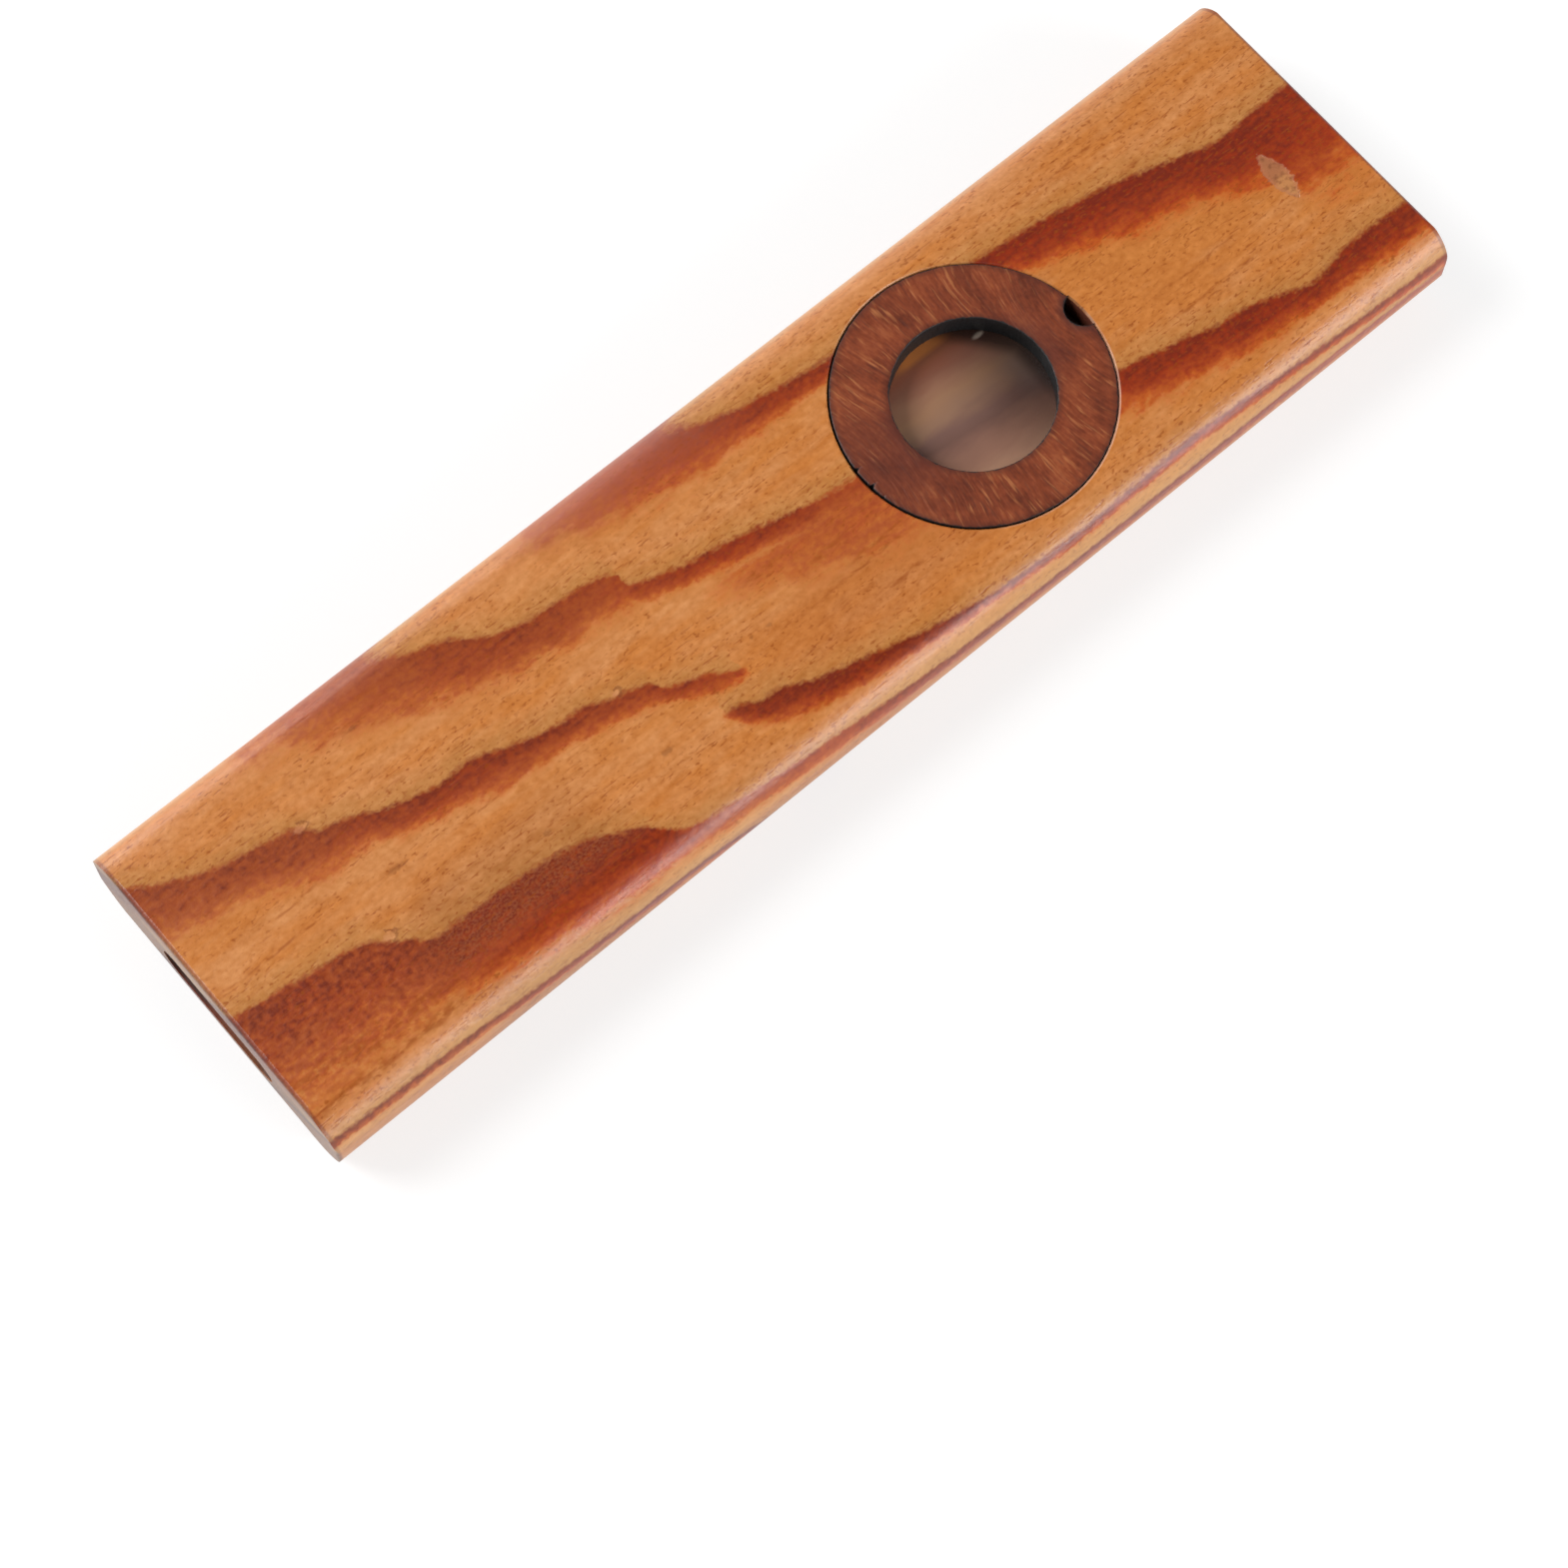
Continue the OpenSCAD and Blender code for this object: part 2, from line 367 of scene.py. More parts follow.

# Marks on the top face: lines of darker grain as (from x, to x, y, half width), nicks drawn as a painted
# glint with painted shade on their +X side, and pits, both as (x, y, half length, half width)
GRAIN_LINES = [(-59, -49, -0.7, 0.22), (-52, -48, 1.6, 0.25), (-60, -52, -10.5, 0.6), (-55, -44, -11.4, 0.6),
               (-60, -45, -13.2, 0.55), (40, 46, 7.3, 0.22), (38, 47, -5.7, 0.25), (33, 44, 10.8, 0.2),
               (-10, -6.5, 4.5, 0.22), (2, 5, 2.3, 0.2), (38, 46, -3.2, 0.22), (-5, 8, -5.6, 0.22),
               (-37, -32, -1.8, 0.18), (-5.5, -2, -0.6, 0.3), (0, 3.2, -2.7, 0.42), (2.5, 8, -4.9, 0.3),
               (-3, 2, -7.4, 0.25), (2, 7, -8.6, 0.3), (-38, -37, 4.4, 0.28), (-42.8, -42, -1.3, 0.32),
               (-36.6, -35.8, -3.6, 0.24), (-38.6, -37.2, 10.2, 0.42)]
NICKS = [(-46.0, 6.2, 0.65, 0.45), (-46.2, -5.4, 0.65, 0.45), (-19.5, -1.2, 0.5, 0.35)]
PITS = [(-31.2, -6.8, 0.45, 0.3), (-42.2, -1.4, 1.0, 0.3), (-37.5, 10.2, 0.5, 0.25), (-19.5, -7.7, 0.7, 0.3),
        (-8.0, -4.6, 0.25, 0.2), (-6.2, -4.7, 0.3, 0.25)]
GRAIN_LINE_BLUR = 1.3
DARK_GRAIN = srgb(148, 66, 6)
PORE = srgb(148, 66, 8)
FLECK = srgb(148, 68, 8)
NICK_GLINT = srgb(214, 144, 98)
NICK_SHADE = srgb(120, 64, 34)
PIT_SHADE = srgb(124, 68, 30)
END_STAIN = srgb(116, 48, 34)

# The bare spot near the outlet lies where two discs about these points overlap
LENS_ARCS = ((56.3, -1.5, 0), (50.0, -1.5, 0))
LENS_RADIUS = 4.0
LENS_PALE = srgb(196, 136, 84)
LENS_DARK = srgb(172, 112, 74)
LENS_GRAIN = srgb(126, 76, 46)
LENS_RIM = srgb(196, 118, 84)

# Painted shade in the hollows, and a painted highlight on the pocket's edge
POCKET_SHADE = srgb(110, 72, 44)
CHANNEL_SHADE = srgb(62, 40, 31)
GAP_SHADE = srgb(26, 20, 17)
NOTCH_WALL = srgb(112, 56, 38)
RIM_HIGHLIGHT_COLOUR = srgb(236, 184, 156)


def growth(graph, place):
    """The growth bands at a point: how far one covers it, how dark it is, how far it lies above an edge."""
    x, y, z = graph.split(place)
    depth = graph.math("SUBTRACT", bar_high.z / MM, z)
    across = graph.math("MULTIPLY_ADD", depth, -LAYER_SLOPE, y)
    layer = graph.join(x, across, 0)
    along = graph.jitter(x, graph.noise(layer, (5.0, 0.8, 1.0), detail=3), 1.2)
    edge_place = graph.jitter(across, graph.noise(layer, (1.8, 0.8, 1.0), detail=3), 0.5)
    edge_place = graph.jitter(edge_place, graph.noise(place, (0.5, 0.4, 0.4), detail=2), 0.9)
    soft = graph.noise(layer, (2.6, 1.1, 1.0), detail=3)
    cover, dark, above = 0.0, 0.0, FAR_ABOVE
    for band in GROWTH_BANDS:
        edge = graph.curve(along, band["edge"])
        foot = graph.curve(along, band["foot"])
        strength = graph.curve(along, band["strength"]) if band["strength"] is not FULL else 1.0
        below = graph.math("SUBTRACT", edge, edge_place)
        width = graph.math("MAXIMUM", graph.math("SUBTRACT", edge, foot), THINNEST_BAND)
        part = graph.math("DIVIDE", below, width)
        # A band frays towards its foot
        part = graph.jitter(part, soft, graph.span(part, 0, 0.8, 0, 0.6))
        tone = graph.times(graph.curve(part, BAND_PROFILE), strength, graph.math("GREATER_THAN", below, -0.4))
        near = graph.span(below, -EDGE_BLUR, EDGE_BLUR, smooth=True)
        cover = graph.math("MAXIMUM", cover, graph.times(near, graph.span(tone, 0.02, 0.26)))
        dark = graph.math("MAXIMUM", dark, tone)
        # Points inside a band, and all points of a faint band, count as far above its edge
        inside = graph.times(graph.math("GREATER_THAN", below, 0.1), FAR_ABOVE)
        gap = graph.math("MAXIMUM", graph.math("MULTIPLY", below, -1.0), inside)
        gap = graph.math("MULTIPLY_ADD", graph.math("LESS_THAN", strength, FAINT_BAND), FAR_ABOVE, gap)
        above = graph.math("MINIMUM", above, gap)
    return cover, dark, above


def clean_wood(graph, place, above, dusty):
    """The wood between the bands: tan and orange, paler just above an edge, browner where it is dusty."""
    x, y, _ = graph.split(place)
    blotch = graph.noise(place, (12.0, 2.4, 2.4), detail=3)
    wisp = graph.noise(place, (3.0, 0.9, 0.9), detail=2)
    lean = graph.times(graph.span(x, -30, 35, 0.1, 0.5), graph.span(y, -3, 9, 1, 0.3))
    patch = graph.math("MULTIPLY_ADD", lean, 0.3, graph.jitter(blotch, wisp, 0.7))
    golden = graph.times(graph.between(x, 30, 35, 46, 54), graph.between(y, -4, -1, 4, 6))
    patch = graph.math("MULTIPLY_ADD", golden, 0.22, patch)
    colour = graph.mix(graph.span(patch, 0.38, 0.72), TAN_WOOD, ORANGE_WOOD)
    ragged = graph.jitter(above, graph.noise(place, (1.8, 0.8, 0.8), detail=3), 2.4)
    colour = graph.paint(colour, PALE_WOOD, graph.span(ragged, 0.0, 2.6, 0.85, 0.0))
    colour = graph.paint(colour, DUSTY_WOOD, dusty, wisp, 0.6)
    by_streak = graph.times(graph.between(x, -10, -2, 12, 18), graph.between(y, -12, -9, -5, -3))
    return graph.paint(colour, DEEP_WOOD, by_streak, 0.5)


def band_redness(graph, place, zone):
    """Whether a band is brown (0) or red (1): redder towards the outlet, with a few stretches of its own."""
    x, y, _ = graph.split(place)
    redness = graph.curve(x, REDNESS_ALONG)
    low_glow = graph.times(graph.span(graph.jitter(y, zone, 2.5), -10.3, -14),
                           graph.between(x, -48, -38, -25, -19))
    far_side = graph.times(graph.span(x, -20, -8, 1, 0), graph.span(y, 2.5, 5.5))
    beside_ring = graph.times(graph.between(x, -9, -5, 9, 12), graph.between(y, -10, -8, -0.4, 1.2))
    for stretch, change in ((low_glow, 0.45), (far_side, -0.3), (beside_ring, -0.45)):
        redness = graph.math("MULTIPLY_ADD", stretch, change, redness)
    return graph.math("MULTIPLY_ADD", graph.math("SUBTRACT", zone, 0.5), 0.9, redness, clamp=True)


def band_wood(graph, place, shade, zone):
    """The colour of a band, with its mauve stretch and the dust in its lower corner."""
    x, y, _ = graph.split(place)
    redness = band_redness(graph, place, zone)
    colour = graph.mix(redness, graph.ramp(shade, BROWN_WOOD), graph.ramp(shade, RED_WOOD))
    colour = graph.paint(colour, MAUVE_WOOD, graph.between(x, -25, -15, 0, 7), graph.span(y, 9, 12), 0.4)
    powder = graph.span(graph.noise(place, (0.26, 0.2, 0.2), detail=2), 0.4, 0.62)
    dust = graph.times(powder, graph.between(x, -47, -42, -26, -22), graph.between(y, -12, -10.5, -8, -7))
    return graph.paint(colour, DUST, dust, 0.32)


def spot_reach(graph, place, spot):
    """How far a point of the top face is from a spot's centre, where 1 is the spot's ragged border."""
    centre_x, centre_y, half_length, half_width = spot
    x, y, _ = graph.split(place)
    about = graph.vector_math("SUBTRACT", graph.join(x, y, 0), (centre_x, centre_y, 0))
    reach = graph.vector_math("LENGTH", graph.vector_math("DIVIDE", about, (half_length, half_width, 1)))
    return graph.jitter(reach, graph.noise(place, 0.4, detail=2), 1.6)


def small_marks(graph, place, colour):
    """Adds the lines of darker grain, the nicks with their painted glint and shade, and the pits to the top
    face.
    """
    x, y, z = graph.split(place)
    plain = colour
    waver = graph.jitter(y, graph.noise(place, (3.0, 1.0, 1.0), detail=2), 1.1)
    gaps = graph.span(graph.noise(place, (1.0, 0.4, 0.4), detail=2), 0.38, 0.6)
    for start, end, level, half in GRAIN_LINES:
        away = graph.math("ABSOLUTE", graph.math("SUBTRACT", waver, level))
        line = graph.span(away, 0, half * GRAIN_LINE_BLUR, 1, 0, smooth=True)
        run = graph.between(x, start - 1, start + 1, end - 1, end + 1)
        colour = graph.paint(colour, DARK_GRAIN, line, run, gaps, 0.62)
    for nick in NICKS:
        reach = spot_reach(graph, place, nick)
        hook = graph.span(graph.math("ABSOLUTE", graph.math("SUBTRACT", reach, 1.1)), 0.1, 0.4, 1, 0)
        right = graph.math("GREATER_THAN", x, nick[0])
        # Each nick's pale spot is a painted glint, and the hook on its +X side is painted shade
        colour = graph.paint(colour, NICK_GLINT, graph.span(reach, 0.5, 1.0, 0.42, 0))
        colour = graph.paint(colour, NICK_SHADE, hook, right, 0.5)
    for pit in PITS:
        colour = graph.paint(colour, PIT_SHADE, graph.span(spot_reach(graph, place, pit), 0.5, 1.1, 0.4, 0))
    on_top = graph.span(z, bar_high.z / MM - 1.5, bar_high.z / MM - 0.7)
    return graph.mix(on_top, plain, colour)


def end_faces(graph, place, colour):
    """Darkens the end faces by the fine dots of cut fibres, and the rounding about them by a stain."""
    from_middle = graph.math("ABSOLUTE", graph.split(place)[0])
    end_face = graph.math("GREATER_THAN", graph.math("ABSOLUTE", graph.split(graph.normal())[0]), 0.7)
    dots = graph.noise(place, 0.16, detail=2)
    colour = graph.mix(end_face, colour, graph.scaled(colour, graph.span(dots, 0.35, 0.65, 0.34, 0.6)))
    arris = graph.span(from_middle, bar_high.x / MM - 0.42, bar_high.x / MM - 0.25)
    return graph.paint(colour, END_STAIN, arris, graph.math("SUBTRACT", 1.0, end_face), 0.6)


def lens_mark(graph, place, colour, mottle, grain):
    """Adds a small bare spot shaped like an eye to the top face near the outlet, and gives where it is."""
    x, y, z = graph.split(place)
    spot = graph.join(x, y, 0)
    reach = graph.math("MAXIMUM", *(graph.distance(spot, centre) for centre in LENS_ARCS))
    reach = graph.jitter(reach, graph.noise(spot, (0.5, 0.35, 1), detail=3), 0.7)
    mark = graph.span(reach, LENS_RADIUS, LENS_RADIUS + 0.22, 1.0, 0.0, smooth=True)
    mark = graph.times(mark, graph.math("GREATER_THAN", z, bar_high.z / MM - 0.2))
    upper = graph.span(graph.jitter(y, mottle, 1.5), -1.9, -1.2)
    inside = graph.mix(upper, LENS_PALE, LENS_DARK)
    inside = graph.paint(inside, LENS_GRAIN, graph.span(grain, 0.44, 0.66, 0.0, 0.75))
    inside = graph.paint(inside, LENS_RIM, graph.span(reach, LENS_RADIUS - 0.28, LENS_RADIUS), 0.4)
    return graph.paint(colour, inside, mark, 0.88), mark


def hollow_zones(graph, place):
    """The pocket's wall, all of the pocket, the channel, and the painted highlight on the pocket's edge."""
    x, y, z = graph.split(place)
    from_axis = graph.distance(graph.join(x, y, 0), (pocket_centre.x / MM, pocket_centre.y / MM, 0))
    past_edge = graph.math("SUBTRACT", from_axis, POCKET_RADIUS / MM)
    below_rim = graph.math("LESS_THAN", z, (bar_high.z - POCKET_CHAMFER) / MM - 0.02)
    over_floor = graph.math("GREATER_THAN", z, CHANNEL_FLOOR / MM - 0.05)
    in_pocket = graph.times(graph.math("LESS_THAN", past_edge, 0.05), below_rim, over_floor)
    on_wall = graph.times(in_pocket, graph.span(past_edge, -0.4, -0.1))
    between_sides = graph.math("LESS_THAN", graph.math("ABSOLUTE", y), CHANNEL_WIDTH / 2 / MM + 0.05)
    under_ceiling = graph.math("LESS_THAN", z, CHANNEL_CEILING / MM + 0.05)
    inside = graph.math("LESS_THAN", graph.math("ABSOLUTE", x), bar_high.x / MM - 0.1)
    in_channel = graph.times(between_sides, under_ceiling, over_floor, inside)
    # The painted highlight on the edge is strongest on the -Y side, a little towards the outlet
    lean = graph.math("MULTIPLY_ADD", x, 0.5, -0.5 * pocket_centre.x / MM)
    lean = graph.math("MULTIPLY_ADD", y, -0.87, lean)
    toward = graph.jitter(graph.math("DIVIDE", lean, from_axis), graph.noise(place, 2.0, detail=2), 0.7)
    rim_glint = graph.times(graph.between(past_edge, -0.02, 0.02, 0.12, 0.22), graph.span(toward, 0.4, 0.95),
                       graph.math("GREATER_THAN", z, (bar_high.z - 2 * POCKET_CHAMFER) / MM))
    return on_wall, in_pocket, in_channel, rim_glint


def hollows(graph, place, colour):
    """Paints shade into the pocket and the channel, and a highlight on its edge; gives where the wood is
    dull.
    """
    x, y, _ = graph.split(place)
    wall, in_pocket, in_channel, rim_glint = hollow_zones(graph, place)
    # Just inside the mouth slot the middle of the channel gets less of the painted shade
    middle = graph.span(graph.math("ABSOLUTE", graph.math("ADD", y, 1.5)), 2.5, 4.5, 1, 0)
    paler = graph.times(middle, graph.span(x, -52, -57), 0.5)
    by_notch = graph.times(graph.math("GREATER_THAN", x, pocket_centre.x / MM + 11.6),
                           graph.span(graph.math("ABSOLUTE", y), 1.7, 2.3, 1, 0))
    colour = graph.paint(colour, POCKET_SHADE, in_pocket, 0.4)
    colour = graph.paint(colour, CHANNEL_SHADE, in_channel, graph.math("SUBTRACT", 0.8, paler))
    colour = graph.paint(colour, GAP_SHADE, wall, 0.93)
    colour = graph.paint(colour, NOTCH_WALL, wall, by_notch)
    # A painted highlight along the pocket's chamfered edge
    colour = graph.paint(colour, RIM_HIGHLIGHT_COLOUR, rim_glint, 0.6)
    return colour, graph.math("MAXIMUM", in_pocket, in_channel)


def wood_material():
    """Striped softwood: growth bands through the whole bar, and small marks on its top face."""
    graph = Graph("striped_wood")
    place = graph.place_mm()
    x, y, z = graph.split(place)
    cover, dark, above = growth(graph, place)

    # Textures from the widest to the finest: fibres, mottle, soft grain, and the short pores
    streak = graph.noise(place, (4.5, 0.5, 0.5), detail=2)
    mottle = graph.noise(place, (1.5, 0.9, 0.9), detail=2)
    grain = graph.noise(place, (0.55, 0.45, 0.45), detail=2)
    pore = graph.noise(place, (1.4, 0.2, 0.2), detail=1)
    fleck = graph.noise(place, (0.5, 0.3, 0.3), detail=1)
    zone = graph.noise(place, (6.0, 1.8, 1.8), detail=2)

    # The planed marks across the grain, which show in the wide band at the mouth end
    chatter = graph.noise(place, (0.65, 0.6, 0.6), detail=3)
    rough = graph.times(graph.span(x, -48, -40, 1, 0.4), graph.span(y, -4, -2, 1, 0.5))
    shade = graph.jitter(graph.jitter(dark, streak, 0.5), grain, 0.85)
    shade = graph.jitter(shade, chatter, rough)
    dusty = graph.times(graph.between(x, -46, -42, -30, -25), graph.span(y, -3, -5))
    colour = graph.mix(cover, clean_wood(graph, place, above, dusty), band_wood(graph, place, shade, zone))

    # Dark pores and flecks gather just above a band's edge and towards the outlet
    reach = graph.math("ADD", zone, graph.span(above, 0.0, 4.5, 0.2, 0.0))
    reach = graph.math("ADD", reach, graph.span(x, 20.0, 45.0, 0.0, 0.14))
    reach = graph.math("MULTIPLY_ADD", dusty, 0.12, reach)
    pores = graph.times(graph.span(pore, 0.6, 0.74), graph.span(reach, 0.48, 0.62))
    flecks = graph.times(graph.span(fleck, 0.58, 0.72), graph.span(reach, 0.38, 0.64, 0.08, 1.0))
    colour = graph.paint(colour, PORE, pores, 0.6)
    colour = graph.paint(colour, FLECK, flecks, 0.65)
    colour = small_marks(graph, place, colour)
    colour = end_faces(graph, place, colour)

    # Darker grain is also more orange, so its blue and green fall faster than its red
    change = graph.jitter(graph.jitter(graph.jitter(0.0, streak, 0.35), mottle, 0.3), grain, 0.62)
    tint = graph.join(*(graph.math("MULTIPLY_ADD", change, pull, 1.0) for pull in (0.65, 1.0, 1.6)))
    colour = graph.vector_math("MULTIPLY", colour, tint)

    # The rounded shoulders get a painted pale sheen, and the sides below them a little painted shade
    depth = graph.math("SUBTRACT", bar_high.z / MM, z)
    colour = graph.paint(colour, SHOULDER_SHEEN, graph.between(depth, 0.9, 1.6, 3.0, 3.8),
                         graph.span(cover, 0, 1, 0.29, 0.04))
    colour = graph.scaled(colour, graph.span(depth, 2.8, 3.8, 1, 0.84))
    colour, mark = lens_mark(graph, place, colour, mottle, grain)
    colour, dull = hollows(graph, place, colour)

    height = graph.math("MULTIPLY", streak, 0.02)
    for texture, rise in ((grain, 0.022), (graph.times(chatter, rough), 0.02), (pores, -0.01), (mark, -0.05)):
        height = graph.math("MULTIPLY_ADD", texture, rise, height)
    roughness = graph.math("MULTIPLY_ADD", grain, 0.14, 0.28)
    roughness = graph.math("MULTIPLY_ADD", dull, 0.25, roughness)
    graph.set(base_color=colour, roughness=roughness, normal=graph.bump(height))
    graph.shader.inputs["Specular IOR Level"].default_value = 0.5
    return graph.material


# Ring

# The ring lies against the outlet side of its pocket, so that the gap shows more on the mouth side
RING_DRIFT = 0.05 * MM
ring_centre = Vector((pocket_centre.x + RING_DRIFT, 0, ring_low.z))

# Colours of its wood, of the smoke marks on it and of the charred cut
RING_WOOD = [(0.25, srgb(97, 40, 20)), (0.42, srgb(119, 52, 26)), (0.58, srgb(135, 62, 32)),
             (0.75, srgb(153, 78, 42))]
RING_HAIR = srgb(184, 114, 68)
RING_VEIN = srgb(84, 40, 28)
BORE_SMOKE = srgb(84, 38, 32)
MOUTH_SMOKE = srgb(86, 38, 28)
NOTCH_SMOKE = srgb(74, 36, 34)
SCORCH = srgb(72, 32, 22)
SOOT_BLACK = srgb(16, 15, 15)
SOOT_GREY = srgb(36, 38, 40)
SOOT_BROWN = srgb(56, 28, 22)

# How deep the laser's fine ridges are, and how far the edges are eased, worn and chipped
RIM_RIDGES = 0.006 * MM
BORE_RIDGES = 0.010 * MM
RIM_EASE = 0.04 * MM
BORE_EASE = 0.06 * MM
BASE_EASE = 0.06 * MM
EASE_WANDER = 0.02 * MM
WORN_EASE = 0.08 * MM
CHIP_DEPTH = 0.10 * MM
CHIP_EASE = 0.26 * MM


def about_ring(graph):
    """The point on the piece in millimetres from the middle of the ring's lower face."""
    return graph.vector_math("SUBTRACT", graph.place_mm(), tuple(c / MM for c in ring_centre))


def ring_fibres(graph, about):
    """The ring's dark wood: fibres along Y that spread a little away from the middle of the ring."""
    x, y, z = graph.split(about)
    spread = graph.math("MULTIPLY_ADD", graph.math("MULTIPLY", y, y), 0.0022, 1.0)
    across = graph.math("DIVIDE", x, spread)
    across = graph.jitter(across, graph.noise(about, (5.0, 8.0, 4.0), detail=1), 1.6)
    fibres = graph.join(across, y, z)
    hair = graph.noise(fibres, (0.2, 3.0, 1.0), detail=2)
    fine = graph.noise(fibres, (0.2, 1.6, 0.6), detail=2)
    vein = graph.noise(fibres, (0.18, 2.0, 1.0), detail=2)
    tuft = graph.noise(about, (1.3, 2.4, 2.0), detail=2)
    cloud = graph.noise(about, (2.2, 3.4, 3.0), detail=3)
    speck = graph.noise(about, (0.3, 0.45, 0.4), detail=2)
    colour = graph.ramp(graph.jitter(graph.jitter(cloud, fine, 0.5), speck, 0.35), RING_WOOD)
    zone = graph.math("MULTIPLY_ADD", graph.span(graph.math("ABSOLUTE", y), 2.0, 7.5), 0.16, tuft)
    colour = graph.paint(colour, RING_HAIR, graph.span(hair, 0.56, 0.68), graph.span(zone, 0.5, 0.72), 0.7)
    colour = graph.paint(colour, RING_VEIN, graph.span(vein, 0.58, 0.7, 0.0, 0.45))
    return colour, hair, fine


def ring_material():
    """Dark wood with fine fibres, smoky beside the cuts and charred on the cut walls."""
    graph = Graph("dark_ring_wood")
    about = about_ring(graph)
    x, y, z = graph.split(about)
    flat = graph.join(x, y, 0)
    off_middle = graph.math("ABSOLUTE", y)
    reach = graph.vector_math("LENGTH", flat)
    bore = graph.math("SUBTRACT", reach, RING_HOLE_RADIUS / MM)
    rim = graph.math("SUBTRACT", RING_RADIUS / MM, reach)
    notch = graph.math("SUBTRACT", graph.distance(flat, (NOTCH_CENTRE / MM, 0, 0)), NOTCH_RADIUS / MM)
    colour, hair, fine = ring_fibres(graph, about)

    # Smoke from the cut has darkened the wood beside the bore and the notch, and on the mouth side
    by_bore = graph.span(bore, 0.0, 3.0, 1.0, 0.0, smooth=True)
    colour = graph.paint(colour, BORE_SMOKE, by_bore, graph.span(off_middle, 1.5, 5.5, 1.0, 0.0), 0.55)
    colour = graph.paint(colour, MOUTH_SMOKE, graph.span(x, -6, -9), graph.span(off_middle, 3, 7, 1, 0), 0.4)
    colour = graph.paint(colour, NOTCH_SMOKE, graph.span(notch, 0.0, 1.1, 0.5, 0.0, smooth=True))

    # The cut walls are sooty, and browner along the upper edge of the rim
    wall = graph.math("MINIMUM", graph.math("MINIMUM", bore, rim), notch)
    stain = graph.jitter(wall, graph.noise(about, 0.5, detail=3), 0.3)
    colour = graph.paint(colour, SCORCH, graph.span(stain, 0.05, 0.7, 0.5, 0.0, smooth=True))
    below_top = graph.span(z, ring_height / MM - 0.10, ring_height / MM - 0.03, 1.0, 0.0)
    char = graph.math("MAXIMUM", graph.span(stain, 0.04, 0.12, 1.0, 0.0), below_top)
    soot = graph.mix(graph.noise(about, (0.2, 0.2, 1.4), detail=3), SOOT_BLACK, SOOT_GREY)
    at_rim = graph.times(graph.math("LESS_THAN", rim, 1.0), graph.math("SUBTRACT", 1.0, below_top))
    soot = graph.paint(soot, SOOT_BROWN, at_rim, 0.8)
    colour = graph.mix(char, colour, soot)

    height = graph.math("MULTIPLY_ADD", fine, 0.02, graph.math("MULTIPLY", hair, 0.04))
    roughness = graph.math("MULTIPLY_ADD", fine, 0.2, 0.36)
    graph.set(base_color=colour, roughness=roughness, normal=graph.bump(height))
    graph.shader.inputs["Specular IOR Level"].default_value = 0.45
    return graph.material


def ring_angles():
    """Angles round the ring, closer together in the notch and with one on each of its corners."""
    corner = math.asin(NOTCH_WIDTH / 2 / RING_RADIUS)
    notch = np.linspace(-corner, corner, 61)
    rest = np.linspace(corner, 2 * math.pi - corner, 901)[1:-1]
    return np.concatenate([notch, rest]), corner


def smooth_noise(angles, waves, seed):
    """A closed wavy line round the ring, from about -1 to 1, made of the given numbers of waves a turn."""
    dice = np.random.default_rng(seed)
    total = np.zeros_like(angles)
    for count in waves:
        total += np.sin(count * angles + dice.uniform(0, 2 * math.pi)) * dice.uniform(0.5, 1)
    return total / len(waves) ** 0.5


def bump_at(angles, centre, width):
    """1 at the angle centre, in degrees, falling to 0 about width to either side."""
    away = (np.degrees(angles) - centre + 180) % 360 - 180
    return np.exp(-np.abs(away / width) ** 4)


def ring_outline():
    """The ring's angles, its outer radius with the notch, its bore, and the easing of both upper edges."""
    angles, corner = ring_angles()
    outer = np.full_like(angles, RING_RADIUS)
    bitten = np.abs(np.angle(np.exp(1j * angles))) <= corner + 1e-9
    across = NOTCH_CENTRE * np.sin(angles[bitten])
    half_chord = np.sqrt(np.maximum(NOTCH_RADIUS ** 2 - across ** 2, 0))
    outer[bitten] = NOTCH_CENTRE * np.cos(angles[bitten]) - half_chord
    outer = outer - RIM_RIDGES * np.abs(smooth_noise(angles, (31, 47, 73), 3))
    bore = RING_HOLE_RADIUS + BORE_RIDGES * np.abs(smooth_noise(angles, (53, 83, 131, 171), 5))
    chips = np.clip(smooth_noise(angles, (29, 47, 71, 113, 157), 8), 0, 1.5)
    outer = outer - CHIP_DEPTH * chips * bump_at(angles, 181, 9)
    ease = RIM_EASE + EASE_WANDER * np.abs(smooth_noise(angles, (17, 31, 59), 9))
    ease = ease + CHIP_EASE * chips * bump_at(angles, 182, 14) + WORN_EASE * bump_at(angles, 195, 45)
    bore_ease = BORE_EASE + EASE_WANDER * np.abs(smooth_noise(angles, (13, 37, 67), 10))
    return angles, outer, bore, ease, bore_ease


def ring_rows():
    """The ring's angles, and its section as rows of radii and rises: over the top, down the bore and back."""
    angles, outer, bore, ease, bore_ease = ring_outline()
    level = np.ones_like(angles)
    rows = []
    for turn in np.linspace(0, math.pi / 2, 4):
        rows.append((outer - ease * (1 - math.cos(turn)), ring_height - ease * (1 - math.sin(turn))))
    top_outer, top_inner = outer - ease, bore + bore_ease
    for part in np.linspace(0, 1, 14)[1:-1]:
        rows.append((top_outer + (top_inner - top_outer) * part, ring_height * level))
    for turn in np.linspace(math.pi / 2, 0, 4):
        rows.append((bore + bore_ease * (1 - math.cos(turn)), ring_height - bore_ease * (1 - math.sin(turn))))
    for part in (0.66, 0.33):
        rows.append((bore, ring_height * part * level))
    rows.append((bore, BASE_EASE * level))
    rows.append((bore + BASE_EASE, 0 * level))
    for part in (0.33, 0.66):
        rows.append((bore + (outer - bore) * part, 0 * level))
    rows.append((outer - BASE_EASE, 0 * level))
    rows.append((outer, BASE_EASE * level))
    for part in (0.33, 0.66):
        rows.append((outer, ring_height * part * level))
    return angles, rows


